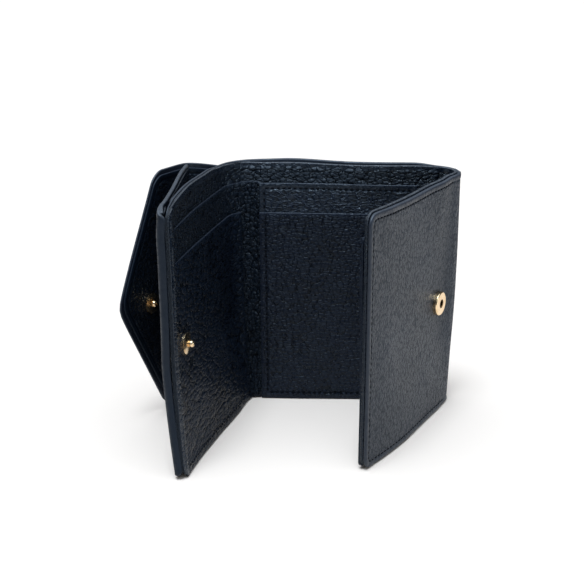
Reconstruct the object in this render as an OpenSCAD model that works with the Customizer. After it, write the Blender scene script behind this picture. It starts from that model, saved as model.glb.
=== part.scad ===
// Compact trifold card holder with a coin pocket and an envelope flap.
// Millimetres, +Z up. The holder stands on its lower edges. The origin is on the lower edge of the
// back panel's outer leather, halfway along it. X runs along the back panel, Y points behind it.

/* [Panels] */
// Height of every panel
panel_h = 95; // [90:1:102]
// Length of the front panel from its fold to its free edge
front_len = 71; // [66:0.5:71]
// Length of the coin panel from its fold to its free edge
coin_len = 69.5; // [68:0.5:72]
// Corner radius of the free edges
corner_r = 4.5; // [2:0.5:8]

/* [Card slots] */
// Height of the upper slot's lip
upper_lip_z = 87.5; // [84:0.5:89]
// Height of the lower slot's lip
lower_lip_z = 76.5; // [70:0.5:80]
// Width of the centre slot panel, for a card standing on its short side
slot_panel_w = 60; // [58:0.5:61]

/* [Leather] */
// Thickness of the outer leather
shell_t = 1.4; // [1.2:0.1:1.4]
// Thickness of lining and slot leather
lining_t = 0.8; // [0.6:0.1:0.8]
// Thickness of the stiffening board in the back panel
board_t = 0.6; // [0.4:0.1:0.6]

/* [Rest pose] */
// Direction of the front panel from its fold, from the X axis
front_angle = 244; // [240:1:250]
// Direction of the coin panel from its fold, from the X axis
coin_angle = -101.2; // [-104:0.2:-98]
// Opening of the coin pocket's front wall, from the coin panel
pocket_angle = 9.5; // [8.5:0.5:10]
// Slope of the flap, from the coin panel
flap_angle = 17.4; // [16:0.2:20]

/* [Snaps] */
// Height of the closing stud and its socket
snap_z = 45.5; // [40:0.5:50]
// Height of the flap's stud and its socket
flap_snap_z = 46; // [42:0.5:50]
// Radius of the sockets' caps
cap_r = 4.6; // [4.2:0.1:5.2]
// Radius of the studs' round bases
stud_r = 4; // [3.4:0.1:4.4]
// Radius of a stud's knob, with the socket's hole 0.4 mm larger
knob_r = 1.3; // [1.1:0.05:1.5]

/* [Stitching] */
// Distance from one stitch to the next
stitch_pitch = 2.6; // [2.2:0.1:3.6]
// Length of one stitch
stitch_len = 1.9; // [1.4:0.1:2]

/* [Hidden] */
$fn = 48;
leather = [0.10, 0.13, 0.19];
lining = [0.07, 0.09, 0.14];
card_board = [0.45, 0.43, 0.40];
gold = [0.85, 0.68, 0.36];
thread = [0.06, 0.08, 0.12];

// fold axes in plan
front_x = 36;
front_y = -3.9;
coin_x = -35;
coin_y = -8.3;

// back panel layers, from the outer leather to the front
back_y0 = -shell_t / 2;
board_y0 = back_y0 - board_t;
bill_gap = 1.2;
back_lining_y0 = board_y0 - bill_gap - lining_t;
upper_pocket_y0 = back_lining_y0 - lining_t;
lower_pocket_y0 = upper_pocket_y0 - lining_t;
slot_x0 = -32.4;

// front panel layers, outward from its fold plane
panel_lining_t = 0.7;
front_w = 1.5;
front_upper_w = front_w + panel_lining_t;
front_lining_w = front_upper_w + panel_lining_t;
front_gap = 0.5;
front_board_w = front_lining_w + panel_lining_t + front_gap;
thin_board_t = 0.4;
front_shell_w = front_board_w + thin_board_t;
front_shell_t = 1.2;
front_out_w = front_shell_w + front_shell_t;
front_start = 5;
front_slot_end = 65;

// coin panel layers, outward from its fold plane
coin_w = 7.2;
coin_upper_w = coin_w + panel_lining_t;
coin_lining_w = coin_upper_w + panel_lining_t;
coin_board_w = coin_lining_w + panel_lining_t;
coin_wall_w = coin_board_w + thin_board_t;
coin_out_w = coin_wall_w + 0.8;
coin_start = 6.2;

// coin pocket's front wall, hinged near the free edge of the coin panel
wall_u = coin_len - 0.7;
wall_w = coin_out_w + 0.7;
wall_leather_t = 1;
wall_lining_t = 0.5;
wall_start = 2;
wall_end = 62.6;

// flap, hinged on a round fold behind the pocket's mouth
flap_u = 1.5;
flap_w = 23.8;
fold_r = 4.6;
flap_lining_t = 0.6;
flap_cover_t = 0.9;
flap_in = fold_r - flap_cover_t - flap_lining_t;
flap_shoulder = 15.2;
flap_tip = 39.9;
flap_low = 0.8;
flap_stud_s = 22.5;
wall_out = wall_leather_t + wall_lining_t;
flap_a = (wall_u - flap_u) * cos(pocket_angle) + (flap_w - wall_w) * sin(pocket_angle);
flap_socket_a = flap_a - flap_stud_s;

// snaps
closing_x = 23.5;
stud_u = closing_x - coin_x;
socket_u = front_x - closing_x;
shank_r = 1;
edge = 3;

// ---- frames ----

module on_front_panel() {
    translate([front_x, front_y, 0]) rotate([0, 0, front_angle]) children();
}

module on_coin_panel() {
    translate([coin_x, coin_y, 0]) rotate([0, 0, coin_angle]) mirror([0, 1, 0]) children();
}

// x runs from the pocket's hinge to its mouth, y is outward
module on_pocket_front() {
    on_coin_panel() translate([wall_u, wall_w, 0]) rotate([0, 0, 180 - pocket_angle])
        mirror([0, 1, 0]) children();
}

// x runs along the flap to its tip, y is outward
module on_flap() {
    on_coin_panel() translate([flap_u, flap_w, 0]) rotate([0, 0, flap_angle]) children();
}

// ---- building blocks ----

// upright sheet from x0 to x1 and z0 to z1, between y0 and y1, rounded at its far corners
module sheet(x0, x1, z0, z1, y0, y1, r = 0) {
    translate([0, y1, 0]) rotate([90, 0, 0]) linear_extrude(y1 - y0) far_round(x0, x1, z0, z1, r);
}

module far_round(x0, x1, z0, z1, r) {
    if (r > 0) {
        translate([x0, z0]) square([x1 - x0 - r, z1 - z0]);
        translate([x1 - 2 * r, z0 + r]) square([2 * r, z1 - z0 - 2 * r]);
        for (z = [z0 + r, z1 - r]) translate([x1 - r, z]) circle(r);
    } else {
        translate([x0, z0]) square([x1 - x0, z1 - z0]);
    }
}

// round hole through a sheet
module hole(x, z, r) {
    translate([x, 50, z]) rotate([90, 0, 0]) cylinder(r = r, h = 100);
}

// part of a tube around the upright axis, from angle a0 to a1
module arc_wall(r0, r1, a0, a1, h) {
    rotate([0, 0, a0]) rotate_extrude(angle = a1 - a0) translate([r0, 0]) square([r1 - r0, h]);
}

// round fitting whose axis points out of the sheet; the profile is x = radius, y = height
module fitting(x, y, z, out = 1) {
    translate([x, y, z]) rotate([-90 * out, 0, 0]) rotate_extrude() children();
}

// flat stitches in a row from a to b, both [x, z], on the face at y
module stitch_row(a, b, y, t = 0.25) {
    d = norm(b - a);
    n = floor(d / stitch_pitch);
    w = atan2(b[1] - a[1], b[0] - a[0]);
    for (i = [0:n - 1]) translate([a[0], y, a[1]]) rotate([0, -w, 0])
        translate([(i + 0.5) * d / n - stitch_len / 2, 0, -0.25]) cube([stitch_len, t, 0.5]);
}

module socket_cap_profile(r, h, round = 0.6) {
    difference() {
        union() {
            square([r, h - round]);
            square([r - round, h]);
            translate([r - round, h - round]) circle(round);
        }
        translate([0, 0.3]) square([knob_r + 0.4, h]);
        translate([0, 0.3]) square([r * 0.8, h - 0.8]);
    }
}

// plate with a low dome, neck and round knob
module stud_profile(r, h, dome = 0.9) {
    plate = r - 0.2;
    dome_r = (plate * plate + dome * dome) / (2 * dome);
    square([r, 0.3]);
    intersection() {
        translate([0, 0.3 + dome - dome_r]) circle(dome_r);
        square([plate, 2]);
    }
    square([knob_r * 0.68, h - knob_r]);
    intersection() {
        translate([0, h - knob_r]) circle(knob_r);
        square([2, h]);
    }
}

// ---- back panel ----

module back_shell() {
    color(leather) sheet(coin_x, front_x, 0, panel_h, back_y0, back_y0 + shell_t);
}

module back_board() {
    color(card_board) sheet(coin_x + 2, front_x - 2, 2, panel_h - 3, board_y0, back_y0);
}

module back_lining() {
    color(lining) {
        sheet(coin_x + 1, front_x - 0.5, 0, panel_h, back_lining_y0, back_lining_y0 + lining_t);
        sheet(coin_x + 1, front_x - 0.5, 0, 1.8, back_lining_y0 + lining_t, board_y0);
    }
}

module back_upper_pocket() {
    color(lining) sheet(slot_x0, slot_x0 + slot_panel_w, 0, upper_lip_z, upper_pocket_y0, back_lining_y0);
}

module back_lower_pocket() {
    color(lining) sheet(slot_x0, slot_x0 + slot_panel_w, 0, lower_lip_z, lower_pocket_y0, upper_pocket_y0);
}

module back_stitching() {
    x1 = slot_x0 + slot_panel_w;
    color(thread) {
        stitch_row([slot_x0 + edge, upper_lip_z - edge], [x1 - edge, upper_lip_z - edge], upper_pocket_y0 - 0.25);
        stitch_row([slot_x0 + 2, 1], [slot_x0 + 2, lower_lip_z - 1], lower_pocket_y0 - 0.25);
        stitch_row([slot_x0 + edge, 2.2], [x1 - edge, 2.2], lower_pocket_y0 - 0.25);
    }
}

// round fold of the outer leather at the front panel's side
module front_spine_shell() {
    r1 = back_y0 + shell_t - front_y;
    color(leather) translate([front_x, front_y, 0]) arc_wall(r1 - shell_t, r1, -24, 90, panel_h);
}

module front_spine_lining() {
    color(lining) translate([front_x, front_y, 0]) arc_wall(0.6, 1.4, -24, 90, panel_h);
}

module coin_spine_shell() {
    r1 = back_y0 + shell_t - coin_y;
    color(leather) translate([coin_x, coin_y, 0]) arc_wall(r1 - shell_t, r1, 90, 168, panel_h);
}

module coin_spine_lining() {
    r1 = back_lining_y0 + lining_t - coin_y;
    color(lining) {
        translate([coin_x, coin_y, 0]) arc_wall(r1 - lining_t, r1, 90, 150, panel_h - 0.5);
        translate([coin_x, back_lining_y0, 0]) cube([1, lining_t, panel_h - 0.5]);
    }
}

// ---- front panel ----

module front_shell() {
    color(leather) on_front_panel() difference() {
        sheet(front_start, front_len, 0, panel_h, front_shell_w, front_out_w, corner_r);
        hole(socket_u, snap_z, shank_r + 0.1);
    }
}

module front_board() {
    color(card_board) on_front_panel() difference() {
        sheet(front_start + 1, front_len - 3, 3, panel_h - 3, front_board_w, front_shell_w, 2);
        hole(socket_u, snap_z, 4.3);
    }
}

module front_lining() {
    color(lining) on_front_panel() {
        sheet(front_start, front_len, 0, panel_h, front_lining_w, front_lining_w + panel_lining_t, corner_r);
        sheet(front_start, front_len - 3, 0, 1.8, front_lining_w + panel_lining_t, front_shell_w);
    }
}

module front_upper_pocket() {
    color(lining) on_front_panel()
        sheet(front_start + 1, front_len - 0.4, 0.4, upper_lip_z, front_upper_w, front_lining_w);
}

module front_lower_pocket() {
    color(lining) on_front_panel()
        sheet(front_start + 1, front_len - 0.4, 0.4, lower_lip_z, front_w, front_upper_w);
}

module front_stitching() {
    color(thread) on_front_panel() {
        stitch_row([front_start + 2, panel_h - edge], [front_len - edge, panel_h - edge], front_out_w);
        stitch_row([front_len - edge, edge], [front_len - edge, panel_h - edge], front_out_w);
        stitch_row([front_start + 2, edge], [front_len - edge, edge], front_out_w);
    }
}

module closing_socket_cap() {
    color(gold) on_front_panel() {
        fitting(socket_u, front_out_w, snap_z) socket_cap_profile(cap_r, 2.2);
        fitting(socket_u, front_shell_w, snap_z) square([shank_r, front_shell_t]);
    }
}

module closing_socket_spring() {
    color(gold) on_front_panel() fitting(socket_u, front_out_w + 0.3, snap_z)
        translate([knob_r + 0.8, 0.35]) circle(0.35);
}

module closing_socket_washer() {
    color(gold) on_front_panel() fitting(socket_u, front_board_w, snap_z) square([4.1, thin_board_t]);
}

// ---- coin panel ----

module coin_panel_lining() {
    color(lining) on_coin_panel() difference() {
        sheet(coin_start, coin_len, 0, panel_h, coin_lining_w, coin_board_w, corner_r);
        hole(stud_u, snap_z, shank_r + 0.1);
    }
}

module coin_upper_pocket() {
    color(lining) on_coin_panel() difference() {
        sheet(coin_start, coin_len - 2, 0.3, upper_lip_z, coin_upper_w, coin_lining_w);
        hole(stud_u, snap_z, shank_r + 0.1);
    }
}

module coin_lower_pocket() {
    color(lining) on_coin_panel() difference() {
        sheet(coin_start, coin_len - 2, 0.3, lower_lip_z, coin_w, coin_upper_w);
        hole(stud_u, snap_z, shank_r + 0.1);
    }
}

module coin_panel_board() {
    color(card_board) on_coin_panel() difference() {
        sheet(coin_start + 2, coin_len - 3, 3, panel_h - 3, coin_board_w, coin_wall_w, 2);
        hole(stud_u, snap_z, 4);
    }
}

module coin_pocket_back() {
    color(leather) on_coin_panel() sheet(-0.5, coin_len, 0, panel_h, coin_wall_w, coin_out_w, corner_r);
}

// rolled edge that joins the pocket's walls at the free edge of the panel
module coin_edge_binding() {
    color(leather) on_coin_panel()
        sheet(wall_u - 0.7, coin_len, corner_r, panel_h - corner_r, coin_out_w, wall_w + 1.6);
}

// folded leather floor of the pocket, inside the space that the closed wall leaves
module coin_pocket_gusset() {
    color(lining) on_coin_panel() translate([0, 0, 2]) linear_extrude(0.6)
        polygon([[12, coin_out_w], [wall_u - 8, coin_out_w], [wall_u - 8, coin_out_w + 0.4],
            [12, coin_out_w + 1.6]]);
}

module coin_stitching() {
    color(thread) on_coin_panel() {
        stitch_row([coin_len - 2 - edge, edge], [coin_len - 2 - edge, lower_lip_z - 2], coin_w - 0.25);
        stitch_row([coin_start + 2, 2.2], [coin_len - 2 - edge, 2.2], coin_w - 0.25);
    }
}

module closing_stud() {
    color(gold) on_coin_panel() {
        fitting(stud_u, coin_w, snap_z, -1) stud_profile(stud_r, 3);
        fitting(stud_u, coin_w, snap_z) square([shank_r, coin_board_w - coin_w]);
    }
}

module closing_stud_washer() {
    color(gold) on_coin_panel() fitting(stud_u, coin_board_w, snap_z) square([3.8, thin_board_t]);
}

// short leather web that carries the flap's fold off the pocket's back wall
module flap_web() {
    color(leather) on_coin_panel() linear_extrude(panel_h)
        polygon([[-0.5, coin_out_w], [0.9, coin_out_w], [-1.2, 18.4], [-2.5, 18]]);
}

// ---- coin pocket's front wall ----

module coin_pocket_front() {
    color(leather) on_pocket_front() difference() {
        sheet(wall_start, wall_end, 0.3, panel_h, wall_lining_t, wall_out);
        hole(flap_socket_a, flap_snap_z, shank_r + 0.1);
    }
}

module coin_pocket_front_lining() {
    color(lining) on_pocket_front() difference() {
        sheet(wall_start, wall_end, 0.3, panel_h, 0, wall_lining_t);
        hole(flap_socket_a, flap_snap_z, 4);
    }
}

module coin_pocket_stitching() {
    color(thread) on_pocket_front() {
        stitch_row([wall_end - edge, edge], [wall_end - edge, panel_h - edge], wall_out);
        stitch_row([wall_start + 1, edge], [wall_end - edge, edge], wall_out);
    }
}

module flap_socket_cap() {
    color(gold) on_pocket_front() {
        fitting(flap_socket_a, wall_out, flap_snap_z) socket_cap_profile(cap_r, 1.9);
        fitting(flap_socket_a, wall_lining_t, flap_snap_z) square([shank_r, wall_leather_t]);
    }
}

module flap_socket_spring() {
    color(gold) on_pocket_front() fitting(flap_socket_a, wall_out + 0.3, flap_snap_z)
        translate([knob_r + 0.8, 0.35]) circle(0.35);
}

module flap_socket_washer() {
    color(gold) on_pocket_front() fitting(flap_socket_a, 0.1, flap_snap_z) square([3.8, 0.4]);
}

// ---- flap ----

// points of a polygon whose corners are rounded with the radii in r
function unit(v) = v / norm(v);
function corner(a, b, c, r, n = 8) =
    let (p = unit(a - b), q = unit(c - b), half = acos(p * q) / 2,
        m = b + unit(p + q) * r / sin(half),
        s = b + p * r / tan(half) - m, e = b + q * r / tan(half) - m,
        a0 = atan2(s[1], s[0]), a1 = atan2(e[1], e[0]),
        da = (a1 - a0 + 540) % 360 - 180)
    [for (i = [0:n]) m + r * [cos(a0 + da * i / n), sin(a0 + da * i / n)]];
function flap_mid() = (panel_h + flap_low - 0.4) / 2;
function flap_outline(d = 0) =
    let (top = panel_h - 0.4 - d, low = flap_low + d, sh = flap_shoulder - d * 0.6,
        tip = flap_tip - d * 1.15,
        a = [0, low], b = [sh, low], c = [tip, flap_mid()], e = [sh, top], f = [0, top])
    concat([a], corner(a, b, c, 5), corner(b, c, e, 4), corner(c, e, f, 5), [f]);

module flap_sheet(y0, y1, d = 0) {
    translate([0, y1, 0]) rotate([90, 0, 0]) linear_extrude(y1 - y0) polygon(flap_outline(d));
}

module flap_cover() {
    color(leather) on_flap() difference() {
        union() {
            flap_sheet(flap_in + flap_lining_t, fold_r);
            translate([0, 0, flap_low]) arc_wall(fold_r - flap_cover_t, fold_r, 90, 185,
                panel_h - 0.4 - flap_low);
        }
        hole(flap_stud_s, flap_snap_z, shank_r + 0.1);
    }
}

module flap_lining() {
    color(lining) on_flap() difference() {
        union() {
            flap_sheet(flap_in, flap_in + flap_lining_t, 0.4);
            translate([0, 0, flap_low + 0.4]) arc_wall(flap_in, flap_in + flap_lining_t, 90, 185,
                panel_h - 1.2 - flap_low);
        }
        hole(flap_stud_s, flap_snap_z, shank_r + 0.1);
    }
}

module flap_stitching() {
    m = flap_mid();
    sh = flap_shoulder - edge * 0.6;
    tip = flap_tip - edge * 1.9;
    color(thread) on_flap() {
        stitch_row([2, flap_low + edge], [sh, flap_low + edge], flap_in - 0.25);
        stitch_row([sh, flap_low + edge], [tip, m - 1.5], flap_in - 0.25);
        stitch_row([tip, m + 1.5], [sh, panel_h - 0.4 - edge], flap_in - 0.25);
        stitch_row([2, panel_h - 0.4 - edge], [sh, panel_h - 0.4 - edge], flap_in - 0.25);
    }
}

module flap_stud() {
    color(gold) on_flap() {
        fitting(flap_stud_s, flap_in, flap_snap_z, -1) stud_profile(stud_r, 2.4);
        fitting(flap_stud_s, flap_in, flap_snap_z) square([shank_r, fold_r - flap_in]);
    }
}

module flap_stud_cap() {
    color(gold) on_flap() fitting(flap_stud_s, fold_r, flap_snap_z) intersection() {
        translate([0, -6.2]) circle(7.4);
        square([4.2, 1.3]);
    }
}

back_shell();
back_board();
back_lining();
back_upper_pocket();
back_lower_pocket();
back_stitching();
front_spine_shell();
front_spine_lining();
coin_spine_shell();
coin_spine_lining();
front_shell();
front_board();
front_lining();
front_upper_pocket();
front_lower_pocket();
front_stitching();
closing_socket_cap();
closing_socket_spring();
closing_socket_washer();
coin_panel_lining();
coin_upper_pocket();
coin_lower_pocket();
coin_panel_board();
coin_pocket_back();
coin_edge_binding();
coin_pocket_gusset();
coin_stitching();
closing_stud();
closing_stud_washer();
flap_web();
coin_pocket_front();
coin_pocket_front_lining();
coin_pocket_stitching();
flap_socket_cap();
flap_socket_spring();
flap_socket_washer();
flap_cover();
flap_lining();
flap_stitching();
flap_stud();
flap_stud_cap();
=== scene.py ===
"""Looks for the trifold card holder: leather sheets, linings, stitching, snaps and studio.

Lengths inside the builders are millimetres in the CAD frame; meshes are written in metres.
"""

import math

import bpy
import numpy as np
from mathutils import Matrix, Vector


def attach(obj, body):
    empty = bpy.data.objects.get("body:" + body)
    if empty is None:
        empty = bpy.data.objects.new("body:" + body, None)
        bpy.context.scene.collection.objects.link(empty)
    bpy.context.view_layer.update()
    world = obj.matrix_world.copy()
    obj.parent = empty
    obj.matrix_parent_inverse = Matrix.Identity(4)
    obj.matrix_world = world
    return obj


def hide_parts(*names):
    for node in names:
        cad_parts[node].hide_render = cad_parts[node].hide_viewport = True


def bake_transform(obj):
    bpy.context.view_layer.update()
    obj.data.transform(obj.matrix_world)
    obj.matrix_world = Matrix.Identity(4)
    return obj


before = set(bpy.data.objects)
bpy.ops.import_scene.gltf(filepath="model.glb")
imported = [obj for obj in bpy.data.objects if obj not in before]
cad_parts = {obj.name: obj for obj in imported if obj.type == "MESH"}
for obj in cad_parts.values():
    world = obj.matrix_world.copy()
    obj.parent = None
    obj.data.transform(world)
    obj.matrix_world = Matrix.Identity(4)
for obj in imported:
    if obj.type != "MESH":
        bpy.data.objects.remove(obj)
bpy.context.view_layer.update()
MM = 0.001

# ---- plan of the holder, as in the CAD model ----
PANEL_H = 95.0
FRONT_AXIS = np.array([36.0, -3.9])
FRONT_DIR = math.radians(244.0)
FRONT_LEN = 71.0
FRONT_ARC = 7.9
COIN_AXIS = np.array([-35.0, -8.3])
COIN_DIR = math.radians(-101.2)
COIN_LEN = 69.5
COIN_ARC = 9.6
WALL_HINGE = (68.8, 11.2)
WALL_ANGLE = math.radians(9.5)
WALL_END = 62.6
FLAP_PIVOT = (1.5, 23.8)
FLAP_ANGLE = math.radians(17.4)
FLAP_TIP = 39.9
FLAP_SHOULDER = 15.2
FLAP_RADIUS = 3.85
UPPER_LIP, LOWER_LIP = 87.5, 76.5
CORNER = 4.5
PITCH = 2.1
EDGE_SEAM, LIP_SEAM, SIDE_SEAM = 2.3, 1.95, 2.5
EDGE_REACH = 6.2
MID_Z = 47.0

# Runs are counted from each fold: s to the right along the front half, t to the left along the
# coin half. Both halves meet in the middle of the back panel, at x = 0.
MID_FRONT, MID_COIN = -36.0, -35.0
GRAIN_SHIFT = MID_FRONT + MID_COIN
SLOT_S0, SLOT_S1 = -32.4 + MID_FRONT, 27.6 + MID_FRONT
FRONT_END = FRONT_ARC + FRONT_LEN
COIN_END = COIN_ARC + COIN_LEN + 0.7


def smooth(t):
    t = np.clip(t, 0.0, 1.0)
    return t * t * (3 - 2 * t)


def ease(s, a, b):
    return smooth((s - a) / (b - a))


def unit(angle):
    return np.array([np.cos(angle), np.sin(angle)])


COIN_U = unit(COIN_DIR)
COIN_W = np.array([COIN_U[1], -COIN_U[0]])
FRONT_U = unit(FRONT_DIR)


def on_coin(u, w):
    """Plan point u along the coin panel from its fold and w outward from it."""
    return COIN_AXIS + u * COIN_U + w * COIN_W


# ---- how the soft panels differ from flat ones ----
def ripple(s, z, amount=0.16):
    """Slow unevenness of hand-sewn leather."""
    return amount * (
        np.sin(s * 0.071 + 0.6) * np.cos(z * 0.058 - 0.4)
        + 0.5 * np.sin(s * 0.16 - z * 0.11 + 1.3)
    )


def centre_lean(x, z):
    """The back panel's upper left part leans back; its right end stands nearly straight."""
    reach = 4.3 * (1 - ease(x, -22.0, 22.0)) - 0.6 * ease(x, 20.0, 40.0)
    return reach * np.clip((z - 58.0) / 37.0, 0, None) ** 2.2


def front_shape(s, z):
    """Outward offset of the centre, front fold and front panel layers."""
    x = FRONT_AXIS[0] + np.minimum(s, 0)
    u = s - FRONT_ARC
    mid = 1 - ((z - MID_Z) / 50.0) ** 2
    pad = 0.5 * mid * ease(u, 4, 20) * (1 - ease(u, 52, 68))
    fold = 2.75 * np.exp(-(((s - 4.5) / 5.5) ** 2)) * (0.25 + 0.75 * ease(z, -12.0, 45.0))
    foot = 1.4 * np.clip((32.0 - z) / 32.0, 0, None) * ease(u, -4, 10) * (1 - 1.15 * ease(u, 40, 69))
    flare = 1.5 * np.exp(-(((s - 18.0) / 8.0) ** 2)) * ease(z, 50.0, 95.0)
    lean = centre_lean(x, z) * (1 - ease(s, -2, 9))
    return lean + pad + fold + foot + flare + ripple(s - MID_FRONT, z) * ease(u, 68, 58)


def slot_toe(s, z):
    """The centre slots' lower edge stands a little forward of the back panel."""
    return -0.8 * np.clip((25.0 - z) / 25.0, 0, None) * (1 - ease(s, -12, -2))


def coin_foot(z):
    """The coin panel's lower part stands further in than its middle."""
    return -2.9 * np.clip((42.0 - z) / 42.0, 0, None) ** 1.4


def coin_reach(z):
    """How far the coin panel's lower part reaches past its upright free edge."""
    return 2.8 * np.clip((40.0 - z) / 40.0, 0, None) ** 1.3


def coin_shape(t, z):
    """Outward offset of the centre, coin fold and coin panel layers."""
    x = COIN_AXIS[0] - np.minimum(t, 0)
    u = t - COIN_ARC
    lean = centre_lean(x, z) * (1 - ease(t, -4, 10))
    top = 1.9 * np.clip((z - 40.0) / 55.0, 0, None) ** 1.5 * ease(t, 2, 12) * (1 - ease(u, 30, 72))
    belly = -2.0 * np.clip((42.0 - z) / 42.0, 0, None) ** 1.4 * ease(t, -9, 1) * (1 - ease(t, 20, 65))
    foot = coin_foot(z) * ease(t, -1, 12) + belly
    return lean + top + foot + ripple(MID_COIN - t, z) * (1 - ease(u, 30, 50))


def front_surface(rc, rf):
    """Sheet that runs along the back panel, round the front fold and along the front panel.

    rc and rf are its middle's distance from the fold axis on the back and on the front panel."""

    def place(s, z, off):
        rad = rc + (rf - rc) * ease(s, -3.0, FRONT_ARC + 3.0) + off
        rad = 3.0 + (rad - 3.0) * (1 - 0.2 * ease(s - FRONT_ARC, 56, 69)) + front_shape(s, z)
        if rc < 1.0:
            rad = rad + slot_toe(s, z)
        turn = math.radians(90) - math.radians(116) * np.clip(s / FRONT_ARC, 0, 1)
        back, far = np.minimum(s, 0), np.maximum(s - FRONT_ARC, 0)
        x = FRONT_AXIS[0] + back + far * FRONT_U[0] + rad * np.cos(turn)
        y = FRONT_AXIS[1] + far * FRONT_U[1] + rad * np.sin(turn)
        return np.stack([x, y, z], -1)

    return place


def coin_surface(rc, rf):
    """Sheet that runs along the back panel, round the coin fold and along the coin panel."""

    def place(t, z, off):
        rad = rc + (rf - rc) * ease(t, -3.0, COIN_ARC + 4.0) + off
        rad = rad + 1.5 * np.exp(-(((t - 2.0) / 3.2) ** 2)) * (rad < 7.0) * ease(z, 0, 14)
        pressed = (0.32 + 0.10 * ease(z, 0, 40)) * ease(t - COIN_ARC, 55, 68)
        rad = 6.9 + (rad - 6.9) * (1 - pressed) + coin_shape(t, z)
        turn = math.radians(90) + math.radians(78.8) * np.clip(t / COIN_ARC, 0, 1)
        back, far = np.minimum(t, 0), np.maximum(t - COIN_ARC, 0)
        far = far + coin_reach(z) * ease(far, 3, 60)
        x = COIN_AXIS[0] - back + far * COIN_U[0] + rad * np.cos(turn)
        y = COIN_AXIS[1] + far * COIN_U[1] + rad * np.sin(turn)
        return np.stack([x, y, z], -1)

    return place


def line_surface(points, shape=None, lean=None):
    """Upright sheet over a plan line of (u, w) points on the coin panel.

    shape moves it along its own normal, lean outward from and along the coin panel."""
    pts = np.array([on_coin(u, w) for u, w in points])
    for _ in range(4):
        mid = (pts[:-1] + pts[1:]) / 2
        low, high = (pts[:-1] + mid) / 2, (pts[1:] + mid) / 2
        inner = np.empty((2 * len(low), 2))
        inner[0::2], inner[1::2] = low, high
        pts = np.vstack([pts[:1], inner, pts[-1:]])
    run = np.concatenate([[0], np.cumsum(np.linalg.norm(np.diff(pts, axis=0), axis=1))])
    tan = np.gradient(pts, run, axis=0)
    tan /= np.linalg.norm(tan, axis=1)[:, None]
    nor = np.stack([tan[:, 1], -tan[:, 0]], -1)

    def place(s, z, off):
        extra = np.maximum(s - run[-1], 0)
        add = off + (shape(s, z) if shape else 0)
        x = np.interp(s, run, pts[:, 0]) + np.interp(s, run, nor[:, 0]) * add + extra * tan[-1, 0]
        y = np.interp(s, run, pts[:, 1]) + np.interp(s, run, nor[:, 1]) * add + extra * tan[-1, 1]
        if lean:
            dw, du = lean(s, z)
            x, y = x + dw * COIN_W[0] + du * COIN_U[0], y + dw * COIN_W[1] + du * COIN_U[1]
        return np.stack([x, y, z], -1)

    return place, run[-1]


# ---- sheets ----
def edge_steps(rho, reach):
    """Distances from a finished edge: round its bevel, then past its relief up to reach."""
    near = [rho * f for f in (0, 0.04, 0.14, 0.32, 0.58, 1.0)]
    far = [0.75, 1.1, 1.45, 1.8, 2.05, 2.3, 2.55, 2.8, 3.1, 3.5, 4.2, 5.1, EDGE_REACH]
    return near + [f for f in far if rho + 0.2 < f <= reach]


def steps(a, b, step, rho, start, end):
    """Positions from a to b, close together at each finished edge."""
    near = edge_steps(rho, min(EDGE_REACH, (b - a) / 2.2))
    first = [a + d for d in near] if start else [a]
    last = [b - d for d in reversed(near)] if end else [b]
    n = max(1, int(math.ceil((last[0] - first[-1]) / step)))
    between = [first[-1] + (last[0] - first[-1]) * i / n for i in range(1, n)]
    return np.array(first + between + last)


def round_corner(a, b):
    """Square to quarter disc: a and b run from 0 at the arc's centre to the two edges."""
    m, k = np.maximum(a, b), np.minimum(a, b)
    inside = (a > 0) & (b > 0)
    ang = np.where(m > 0, k / np.where(m > 0, m, 1), 0) * math.pi / 4
    big, small = m * np.cos(ang), m * np.sin(ang)
    na, nb = np.where(a >= b, big, small), np.where(a >= b, small, big)
    return np.where(inside, na, a), np.where(inside, nb, b)


def edge_distance(s, z, open_start, open_end):
    """Distance of each grid point from the finished edges, in the flat pattern."""
    loop = [np.stack([s[:, 0], z[:, 0]], -1), np.stack([s[:, -1], z[:, -1]], -1)]
    if not open_start:
        loop.append(np.stack([s[0], z[0]], -1))
    if not open_end:
        loop.append(np.stack([s[-1], z[-1]], -1))
    p = np.stack([s.ravel(), z.ravel()], -1)
    best = np.full(len(p), 1e9)
    for line in loop:
        for a, b in zip(line[:-1], line[1:]):
            ab = b - a
            size = ab @ ab
            if size < 1e-12:
                continue
            k = np.clip(((p - a) @ ab) / size, 0, 1)[:, None]
            best = np.minimum(best, np.linalg.norm(p - a - k * ab, axis=1))
    return best.reshape(s.shape)


def make_mesh(name, verts, faces, material):
    mesh = bpy.data.meshes.new(name)
    mesh.from_pydata([tuple(v) for v in verts], [], faces)
    mesh.polygons.foreach_set("use_smooth", [True] * len(mesh.polygons))
    mesh.materials.append(material)
    obj = bpy.data.objects.new(name, mesh)
    bpy.context.scene.collection.objects.link(obj)
    return obj


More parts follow.
